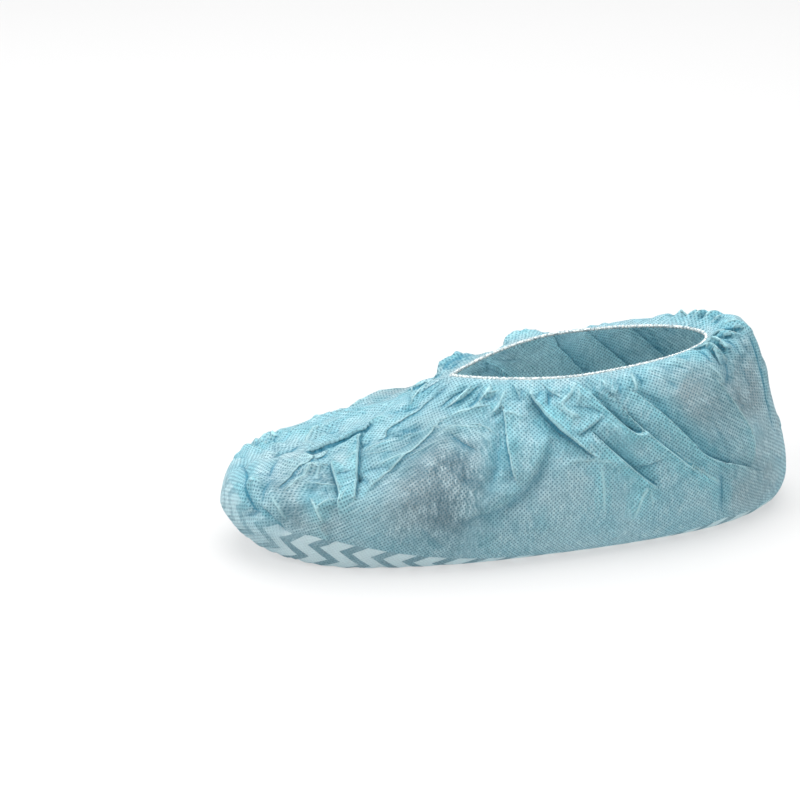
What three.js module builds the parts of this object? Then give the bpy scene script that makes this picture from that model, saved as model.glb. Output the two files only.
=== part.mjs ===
// Disposable shoe cover: one gathered panel of nonwoven cloth, closed by a stitched seam along the sole,
// with an elastic edging round the opening. Millimetres, +Z up, toe towards -X, standing on Z = 0.
import * as THREE from 'three';

// Driving dimensions
const WALL = 1.4;             // thickness of the cloth wall
const AROUND = 96;            // divisions of the cloth round the foot
const DOWN = 24;              // divisions from the opening down to the sole seam
const EDGING = { radius: 1.5, sides: 6, gap: 0.5 };
const SEAM = { radius: 0.9, sides: 6, steps: 44, gap: 0.35, endShare: 0.03 };
const RIM_GATHERS = { count: 22, height: 1.5, reach: 9, wander: 0.9 };
const SOLE_GATHERS = { count: 19, depth: 2.2, reach: 26, wander: 0.7 };
const FOLD_STEPS = 18;        // points that stand for one fold's line
const RING_STEPS = 720;       // points used to space out one section evenly

// Sections from the opening down to the sole seam. toe and heel are the ends of the section along X and
// half is its half width. zToe, zMid and zHeel are heights, and level is the share of the length that
// stays at zMid: 0 gives an even curve. toeBend and toePoint shape the front from blunt to pointed,
// heelPower squares off the back, and widest is the place of the greatest width as a share of the
// length from the toe.
const SECTIONS = table(
  ['name', 'toe', 'heel', 'half', 'zToe', 'zMid', 'zHeel', 'level',
    'toeBend', 'toePoint', 'heelPower', 'widest'],
  [
    ['opening', -35, 110, 30, 86, 92, 97, 0, 1.6, 0.9, 1.95, 0.46],
    ['gather', -43, 121, 38, 82, 88, 103, 0, 1.75, 0.72, 2.05, 0.46],
    ['shoulder', -67, 133, 46, 68, 77, 99, 0, 1.9, 0.58, 2.15, 0.46],
    ['upper', -101, 141, 53, 58, 65, 81, 0, 2.0, 0.5, 2.25, 0.46],
    ['middle', -131, 147, 58, 50, 52, 59, 0, 2.1, 0.48, 2.35, 0.45],
    ['lower', -151, 155, 61, 43, 37, 35, 0, 2.2, 0.46, 2.4, 0.44],
    ['foot', -158, 158, 60, 26, 16, 17, 0, 2.1, 0.48, 2.4, 0.44],
    ['edge', -156, 156.5, 53, 23, 2, 11, 0.6, 2.0, 0.54, 2.5, 0.45],
    ['tread', -155, 155.5, 43, 22, 0, 9, 0.6, 2.0, 0.54, 2.5, 0.45],
    ['groove', -154, 154, 9, 21, 0, 8, 0.6, 2.1, 0.48, 2.4, 0.45],
    ['seam', -153, 153, 0, 22, 3, 9, 0.6, 2.1, 0.48, 2.4, 0.45],
  ],
);

// Main folds. A fold runs along its path, given as [along, down] points: along goes from the toe (0) to
// the heel (1) on its side, and down from the opening (0) to the sole seam (1). height is how far the
// cloth stands out there, or in where it is negative. It dies away over `fore` towards the toe side of
// the path and `aft` on the other, as a sharp crease (power 1) or a soft swelling (power 2).
const FOLDS = table(
  ['name', 'side', 'height', 'fore', 'aft', 'power', 'path'],
  [
    ['rim pleat 1', 'near', -6, 13, 5, 1, [[0.32, 0.07], [0.51, 0.23], [0.66, 0.43]]],
    ['rim pleat 2', 'near', -5, 10, 5, 1, [[0.46, 0.1], [0.56, 0.24], [0.68, 0.48]]],
    ['rim pleat 3', 'near', -5, 10, 5, 1, [[0.43, 0.04], [0.54, 0.14], [0.65, 0.29]]],
    ['rim pleat 4', 'near', -6, 12, 5, 1, [[0.55, 0.07], [0.66, 0.2], [0.775, 0.42], [0.865, 0.58]]],
    ['heel crease', 'near', 2.2, 9, 6, 1, [[0.76, 0.08], [0.81, 0.26], [0.86, 0.44], [0.87, 0.58]]],
    ['heel hollow', 'near', -2.4, 7, 7, 1, [[0.95, 0.14], [0.93, 0.34], [0.93, 0.52]]],
    ['pouch', 'near', 4, 20, 20, 2, [[0.16, 0.17], [0.24, 0.33], [0.3, 0.48]]],
    ['pouch ridge', 'near', 2.5, 6, 12, 1, [[0.13, 0.13], [0.17, 0.3], [0.22, 0.5]]],
    ['pouch hem', 'near', 2.5, 10, 6, 1, [[0.21, 0.05], [0.3, 0.18], [0.39, 0.31]]],
    ['side valley', 'near', -5, 9, 12, 1.5, [[0.4, 0.17], [0.46, 0.36], [0.44, 0.47], [0.34, 0.56]]],
    ['vamp valley', 'near', -3.5, 7, 6, 1, [[0.06, 0.24], [0.1, 0.36], [0.2, 0.52]]],
    ['vamp crease', 'near', -2.5, 6, 6, 1, [[0.03, 0.06], [0.05, 0.2], [0.08, 0.32]]],
    ['toe fold 1', 'near', -3.2, 7, 6, 1, [[0.03, 0.35], [0.05, 0.46], [0.11, 0.61]]],
    ['toe fold 2', 'near', -2.4, 6, 6, 1, [[0.01, 0.46], [0.05, 0.52], [0.075, 0.58]]],
    ['toe pleat', 'near', -3, 6, 6, 1, [[0.015, 0.71], [0.045, 0.73], [0.08, 0.76]]],
    ['toe ridge', 'near', 2.4, 7, 7, 1.5, [[0.08, 0.43], [0.16, 0.51], [0.21, 0.58]]],
    ['low crease 1', 'near', -1.6, 7, 7, 1, [[0.58, 0.36], [0.595, 0.45], [0.6, 0.56]]],
    ['low crease 2', 'near', -1.6, 7, 7, 1, [[0.66, 0.45], [0.66, 0.52], [0.65, 0.62]]],
    ['front puff', 'far', 6, 9, 9, 2, [[0.05, 0.07], [0.1, 0.06]]],
    ['side puff', 'far', 6, 11, 11, 2, [[0.24, 0.07], [0.34, 0.07]]],
    ['far pleat 1', 'far', -6, 13, 5, 1, [[0.3, 0.08], [0.46, 0.26], [0.6, 0.46]]],
    ['far pleat 2', 'far', -5, 10, 5, 1, [[0.43, 0.06], [0.54, 0.2], [0.68, 0.44]]],
    ['far pleat 3', 'far', -6, 12, 5, 1, [[0.56, 0.06], [0.67, 0.22], [0.78, 0.44], [0.85, 0.58]]],
    ['far pleat 4', 'far', -3.5, 8, 5, 1, [[0.72, 0.06], [0.78, 0.2], [0.86, 0.4]]],
    ['far pouch', 'far', 4, 20, 20, 2, [[0.14, 0.2], [0.22, 0.36], [0.3, 0.5]]],
    ['far valley', 'far', -4.5, 9, 11, 1.5, [[0.38, 0.2], [0.43, 0.38], [0.38, 0.5], [0.3, 0.58]]],
    ['far vamp valley', 'far', -3.2, 7, 6, 1, [[0.04, 0.22], [0.1, 0.38], [0.17, 0.52]]],
    ['far toe fold', 'far', -2.8, 7, 6, 1, [[0.03, 0.42], [0.06, 0.52], [0.12, 0.62]]],
    ['far heel hollow', 'far', -2.4, 7, 7, 1, [[0.94, 0.15], [0.92, 0.36], [0.92, 0.54]]],
  ],
);

// A table's rows as objects with named columns
function table(columns, rows) {
  return rows.map((row) => Object.fromEntries(columns.map((column, k) => [column, row[k]])));
}

// Height of a section at x
function sectionHeight(section, x) {
  const t = (x - section.toe) / (section.heel - section.toe);
  const { zToe, zMid, zHeel, level } = section;
  if (level === 0) {
    return zToe + (zHeel - zToe) * t + (zMid - (zToe + zHeel) / 2) * 4 * t * (1 - t);
  }
  const past = THREE.MathUtils.clamp((Math.abs(t - 0.5) - level / 2) / (0.5 - level / 2), 0, 1);
  const end = t < 0.5 ? zToe : zHeel;
  return zMid + (end - zMid) * (1 - Math.sqrt(1 - past * past));
}

// Evenly spaced points round a section, from the heel by the far side to the toe and back by the near side
function sectionPoints(section) {
  const middle = section.toe + section.widest * (section.heel - section.toe);
  const outline = [];
  for (let k = 0; k <= RING_STEPS; k += 1) {
    const turn = (2 * Math.PI * k) / RING_STEPS;
    const [c, s] = [Math.cos(turn), Math.sin(turn)];
    const reach = c > 0 ? section.heel - middle : middle - section.toe;
    const bend = c > 0 ? section.heelPower : section.toeBend;
    const point = c > 0 ? 1 / section.heelPower : section.toePoint;
    const x = middle + reach * c;
    const y = section.half * Math.sign(s) * Math.max(0, 1 - Math.abs(c) ** bend) ** point;
    outline.push(new THREE.Vector3(x, y, sectionHeight(section, x)));
  }
  return spaced(outline, AROUND).slice(0, AROUND);
}

// Points at equal steps along a line of points, both ends included
function spaced(line, steps) {
  const path = new THREE.CurvePath();
  for (let k = 1; k < line.length; k += 1) {
    path.add(new THREE.LineCurve3(line[k - 1], line[k]));
  }
  return path.getSpacedPoints(steps);
}

// The smooth form as rows of points: row 0 is the opening, row DOWN the sole seam
function smoothForm() {
  const rings = SECTIONS.map(sectionPoints);
  const form = Array.from({ length: DOWN + 1 }, () => []);
  for (let j = 0; j < AROUND; j += 1) {
    const curve = new THREE.CatmullRomCurve3(rings.map((ring) => ring[j]), false, 'catmullrom');
    curve.getSpacedPoints(DOWN).forEach((point, i) => {
      point.z = Math.max(point.z, 0);
      form[i].push(point);
    });
  }
  return form;
}

// Column that faces column j across the length: the two meet at the sole seam
function facing(j) {
  return (AROUND - j) % AROUND;
}

// Outward normals of a form
function normalsOf(form) {
  const raw = form.map((row, i) => row.map((point, j) => {
    const round = row[(j + 1) % AROUND].clone().sub(row[(j + AROUND - 1) % AROUND]);
    const below = form[Math.min(i + 1, DOWN)][j].clone().sub(form[Math.max(i - 1, 0)][j]);
    return below.cross(round).normalize();
  }));
  raw[DOWN] = raw[DOWN - 1].map((normal, j) => normal.clone().add(raw[DOWN - 1][facing(j)]).normalize());
  return raw;
}

// Point of a form at a side's along and down shares
function pointAt(form, side, along, down) {
  const column = (side === 'near' ? 0.5 + along / 2 : 0.5 - along / 2) * AROUND;
  const row = Math.min(down * DOWN, DOWN - 1e-6);
  const [i, j] = [Math.floor(row), Math.floor(column)];
  const across = (r) => form[r][j % AROUND].clone().lerp(form[r][(j + 1) % AROUND], column - j);
  return across(i).lerp(across(i + 1), row - i);
}

// Line of points that a fold follows on a form
function foldLine(form, fold) {
  const points = fold.path.map(([along, down]) => pointAt(form, fold.side, along, down));
  return new THREE.CatmullRomCurve3(points).getSpacedPoints(FOLD_STEPS);
}

// How far one fold moves a point out along its normal
function foldHeight(fold, line, point, normal) {
  const nearest = { gap: Infinity, share: 0, ahead: false };
  for (let k = 0; k < FOLD_STEPS; k += 1) {
    const segment = new THREE.Line3(line[k], line[k + 1]);
    const t = segment.closestPointToPointParameter(point, true);
    const offset = point.clone().sub(segment.at(t, new THREE.Vector3()));
    if (offset.length() < nearest.gap) {
      const crosswise = segment.delta(new THREE.Vector3()).cross(normal);
      nearest.gap = offset.length();
      nearest.share = (k + t) / FOLD_STEPS;
      nearest.ahead = (crosswise.dot(offset) > 0) === (fold.side === 'near');
    }
  }
  const fade = Math.sin(Math.PI * (0.15 + 0.7 * nearest.share));
  const width = nearest.ahead ? fold.fore : fold.aft;
  return fold.height * fade * Math.exp(-((nearest.gap / width) ** fold.power));
}

// Gathers under the elastic edging, at a share round the opening and a distance below it
function rimGather(round, below) {
  const { count, height, reach, wander } = RIM_GATHERS;
  const turn = 2 * Math.PI * round;
  const wave = Math.cos(count * turn + wander * Math.sin(3 * turn) + wander * Math.sin(7 * turn));
  return height * wave * (below / reach) * Math.exp(1 - below / reach);
}

// Gathers that the sole seam pulls up, at a share along the seam and a distance from it
function soleGather(along, away) {
  const { count, depth, reach, wander } = SOLE_GATHERS;
  const wave = Math.sin(Math.PI * count * along + wander * Math.sin(9 * along)) ** 2;
  return depth * wave * Math.max(0, 1 - away / reach) ** 2 * Math.min(1, away / SEAM.radius / 4);
}

// The form with its folds and gathers: the outer face of the cloth
function foldedForm(form) {
  const normals = normalsOf(form);
  const folds = FOLDS.map((fold) => ({ fold, line: foldLine(form, fold) }));
  return form.map((row, i) => row.map((point, j) => {
    const below = point.distanceTo(form[0][j]);
    const away = Math.abs(point.y);
    const along = Math.abs(2 * (j / AROUND) - 1);
    const held = 1 - Math.exp(-below / RIM_GATHERS.reach);
    const slack = THREE.MathUtils.smoothstep(point.z, 1, 12);
    let height = rimGather(j / AROUND, below);
    for (const { fold, line } of folds) {
      height += foldHeight(fold, line, point, normals[i][j]) * held * slack;
    }
    const moved = point.clone().addScaledVector(normals[i][j], height);
    if (normals[i][j].z < -0.9) {
      moved.z += soleGather(along, away);
    }
    moved.z = Math.max(moved.z, 0);
    return moved;
  }));
}

// Closed cloth wall between the outer form and one wall thickness inside it
function clothWall(outer) {
  const normals = normalsOf(outer);
  const inner = outer.map((row, i) => row.map((point, j) => (
    point.clone().addScaledVector(normals[i][j], -WALL))));
  const points = [...outer.flat(), ...inner.flat()];
  const layer = (DOWN + 1) * AROUND;
  const index = [];
  const vertex = (i, j, face) => {
    const column = ((j % AROUND) + AROUND) % AROUND;
    const shared = i === DOWN && column > AROUND / 2 ? facing(column) : column;
    return face * layer + i * AROUND + shared;
  };
  const quad = (a, b, c, d) => {
    const level = points[a].distanceTo(points[c]) < points[b].distanceTo(points[d]);
    index.push(...(level ? [a, b, c, a, c, d] : [a, b, d, b, c, d]));
  };
  for (let j = 0; j < AROUND; j += 1) {
    for (let i = 0; i < DOWN; i += 1) {
      quad(vertex(i, j, 0), vertex(i + 1, j, 0), vertex(i + 1, j + 1, 0), vertex(i, j + 1, 0));
      quad(vertex(i, j, 1), vertex(i, j + 1, 1), vertex(i + 1, j + 1, 1), vertex(i + 1, j, 1));
    }
    quad(vertex(0, j, 0), vertex(0, j + 1, 0), vertex(0, j + 1, 1), vertex(0, j, 1));
  }
  return geometryOf(points, index);
}

// Elastic edging: a closed bead that sits on the edge of the cloth
function edgingBead(outer) {
  const normals = normalsOf(outer);
  const seat = outer[0].map((point, j) => {
    const upward = point.clone().sub(outer[1][j]).normalize();
    return point.clone().addScaledVector(normals[0][j], -WALL / 2)
      .addScaledVector(upward, EDGING.radius + EDGING.gap);
  });
  const points = [];
  const index = [];
  for (let j = 0; j < AROUND; j += 1) {
    const run = seat[(j + 1) % AROUND].clone().sub(seat[(j + AROUND - 1) % AROUND]).normalize();
    const side = normals[0][j].clone().addScaledVector(run, -normals[0][j].dot(run)).normalize();
    const up = run.clone().cross(side);
    for (let k = 0; k < EDGING.sides; k += 1) {
      const turn = (2 * Math.PI * k) / EDGING.sides;
      points.push(seat[j].clone().addScaledVector(side, EDGING.radius * Math.cos(turn))
        .addScaledVector(up, EDGING.radius * Math.sin(turn)));
      const next = (k + 1) % EDGING.sides;
      const [here, ahead] = [j * EDGING.sides, ((j + 1) % AROUND) * EDGING.sides];
      index.push(here + k, ahead + next, ahead + k, here + k, here + next, ahead + next);
    }
  }
  return geometryOf(points, index);
}

// Stitched seam: a thin cord in the groove under the sole, from toe to heel
function seamCord(outer) {
  const normals = normalsOf(outer);
  const line = [];
  for (let j = AROUND / 2; j >= 0; j -= 1) {
    line.push(outer[DOWN][j].clone().addScaledVector(normals[DOWN][j], SEAM.radius + SEAM.gap));
  }
  const run = new THREE.CatmullRomCurve3(line);
  const middle = spaced(run.getSpacedPoints(RING_STEPS), RING_STEPS);
  const trim = Math.round(SEAM.endShare * RING_STEPS);
  const section = new THREE.Shape();
  section.absarc(0, 0, SEAM.radius, 0, 2 * Math.PI);
  return new THREE.ExtrudeGeometry(section, {
    extrudePath: new THREE.CatmullRomCurve3(middle.slice(trim, -trim)),
    steps: SEAM.steps,
    curveSegments: SEAM.sides / 2,
    bevelEnabled: false,
  });
}

// Indexed geometry from points and triangle corners
function geometryOf(points, index) {
  const geometry = new THREE.BufferGeometry().setFromPoints(points);
  geometry.setIndex(index);
  geometry.computeVertexNormals();
  return geometry;
}

// One named piece with its own finish
function piece(name, geometry, color, roughness) {
  const material = new THREE.MeshStandardMaterial({ color, roughness, metalness: 0 });
  const mesh = new THREE.Mesh(geometry, material);
  mesh.name = name;
  return mesh;
}

const cloth = foldedForm(smoothForm());
const shoeCover = new THREE.Group();
shoeCover.add(
  piece('fabric_body', clothWall(cloth), '#8fc0cc', 0.85),
  piece('elastic_edge', edgingBead(cloth), '#e6f0f0', 0.9),
  piece('sole_seam', seamCord(cloth), '#3fa3bd', 0.8),
);

export default shoeCover;
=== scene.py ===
import math

import bpy
import numpy as np
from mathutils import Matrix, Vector


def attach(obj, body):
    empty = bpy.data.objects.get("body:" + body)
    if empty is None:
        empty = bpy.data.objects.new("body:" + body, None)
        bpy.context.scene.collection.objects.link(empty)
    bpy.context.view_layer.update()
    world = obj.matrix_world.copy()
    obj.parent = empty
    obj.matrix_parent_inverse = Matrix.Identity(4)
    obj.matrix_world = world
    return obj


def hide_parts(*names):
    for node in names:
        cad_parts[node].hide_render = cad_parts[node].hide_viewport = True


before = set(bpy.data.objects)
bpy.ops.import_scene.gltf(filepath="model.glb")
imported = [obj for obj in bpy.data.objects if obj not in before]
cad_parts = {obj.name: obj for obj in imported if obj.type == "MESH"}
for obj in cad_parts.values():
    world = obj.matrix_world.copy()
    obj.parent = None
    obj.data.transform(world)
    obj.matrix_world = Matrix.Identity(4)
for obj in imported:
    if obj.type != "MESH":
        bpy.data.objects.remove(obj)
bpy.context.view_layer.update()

# Shoe cover: a gathered panel of nonwoven cloth with a stitched elastic edge and a seam along the sole.
# Lengths are in millimetres until a mesh or a material is made. The toe points to -X, the near side to -Y.
MM = 0.001
TINY = 1e-9

# Camera
CAMERA_PIVOT = (1, 0, 50)
CAMERA_DISTANCE = 1223.7
CAMERA_AZIMUTH = -16.61
CAMERA_ELEVATION = 25.37
CAMERA_AIM = (-60.8, 0, 74.8)
CAMERA_ANGLE = 20.0
CAMERA_NEAREST = 10

# Cloth panel
AROUND = 440            # columns round the foot, from the heel by the far side to the toe and back
SIDE_ROWS = 94          # rows from the opening down to the foot's edge
SOLE_ROWS = 16          # rows from there to the sole seam
SOLE_SHARE = 0.72       # where the sole begins, as a share of the way down
CLOTH_THICKNESS = 0.4
PANEL_DOWN = 180        # its length from the opening to the sole seam
HEM_RISE = 1.6          # how far the cloth goes up into the edging
HEM_INSET = 0.5
CREASE_ANGLE = 50       # edges that turn more than this stay sharp
OUTLINE_STEPS = 2000    # points that draw one section before it is spaced out
MERIDIAN_STEPS = 500    # points that draw one line from the opening to the seam
ROW_SHARES = np.concatenate([np.linspace(0, SOLE_SHARE, SIDE_ROWS, endpoint=False),
                             np.linspace(SOLE_SHARE, 1, SOLE_ROWS + 1)])
ROWS = len(ROW_SHARES)

# How the cloth folds
FOLD_STEPS = 24         # points that stand for one fold's line
FOLD_FULLNESS = 1.25    # how far the named folds stand out, against their table
FOLD_END = 3            # power with which a fold dies away towards its ends
PLEAT_STEP = 4          # a fold with at least this step is a pleat, whose edge runs straight
LIP_GAP = 0.7           # distance from a pleat's line to the cloth's points on either side of it
LIP_ENDS = (0.01, 0.99)  # shares of a pleat's line between which those points are moved
LIP_HELD = 0.4          # and the least freedom that a moved point has
WALL_HALF = 1.5         # half the width over which a smaller fold steps down
SOFT_HALF = 4           # and a soft one
SOFT_FOLD = 1.5         # folds with shoulders at least this soft have no crisp edge
WIDE_FOLD = 20          # folds wider than this have no tone of their own
FOLD_TONE = 9.0         # width of the fuller colour along a fold, partly painted light
VALLEY_TONE = 3.2       # width of the shade in a small fold's valley
VALLEY_SHARE = 0.5      # and in a large one, as a share of the valley's width
TONE_RISE = 2.5         # rise at which these tones are full
LINE_NEAR = (1.0, 2.6)  # distances from a fold's line between which its crisp edge dies away
LINE_LIMIT = 6.0        # distance from a fold's line that counts as far
RIM_REACH = 3.5         # distance below the edging over which the folds rise
FLOOR_SLACK = (1, 12)   # heights between which the folds die away towards the floor

# Columns where lines start from which the embossing is measured: two sets, each shown near its own lines
CHART_COLUMNS = {"cloth": (0, 110, 220, 330, 440), "between": (55, 165, 275, 385)}
CHART_BLEND = (.4, .6)  # shares of the way to the second set's line between which it takes over
CHART_STEP = 500        # shift from one line's coordinates to the next

# Sections from the opening down to the sole seam. toe and heel are the ends of the section along X and
# half is its half width. The z columns are heights, and level is the share of the length that stays at
# z_mid: 0 gives an even curve. toe_bend and toe_point shape the front from blunt to pointed, heel_power
# squares off the back, and widest is the place of the greatest width, as a share from the toe.
SECTION_COLUMNS = ("name", "toe", "heel", "half", "z_toe", "z_mid", "z_heel", "level",
                   "toe_bend", "toe_point", "heel_power", "widest")
SECTIONS = (
    ("opening", -35, 110, 30, 86, 92, 97, 0, 1.6, 0.9, 1.95, 0.46),
    ("gather", -43, 121, 38, 82, 88, 103, 0, 1.75, 0.72, 2.05, 0.46),
    ("shoulder", -67, 133, 46, 68, 77, 99, 0, 1.9, 0.58, 2.15, 0.46),
    ("upper", -101, 141, 53, 58, 65, 81, 0, 2.0, 0.5, 2.25, 0.46),
    ("middle", -131, 147, 58, 50, 52, 59, 0, 2.1, 0.48, 2.35, 0.45),
    ("lower", -151, 155, 61, 43, 37, 35, 0, 2.2, 0.46, 2.4, 0.44),
    ("foot", -158, 158, 60, 26, 16, 17, 0, 2.1, 0.48, 2.4, 0.44),
    ("edge", -156, 156.5, 53, 23, 2, 11, 0.6, 2.0, 0.54, 2.5, 0.45),
    ("tread", -155, 155.5, 43, 22, 0, 9, 0.6, 2.0, 0.54, 2.5, 0.45),
    ("groove", -154, 154, 9, 21, 0, 8, 0.6, 2.1, 0.48, 2.4, 0.45),
    ("seam", -153, 153, 0, 22, 3, 9, 0.6, 2.1, 0.48, 2.4, 0.45),
)

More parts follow.
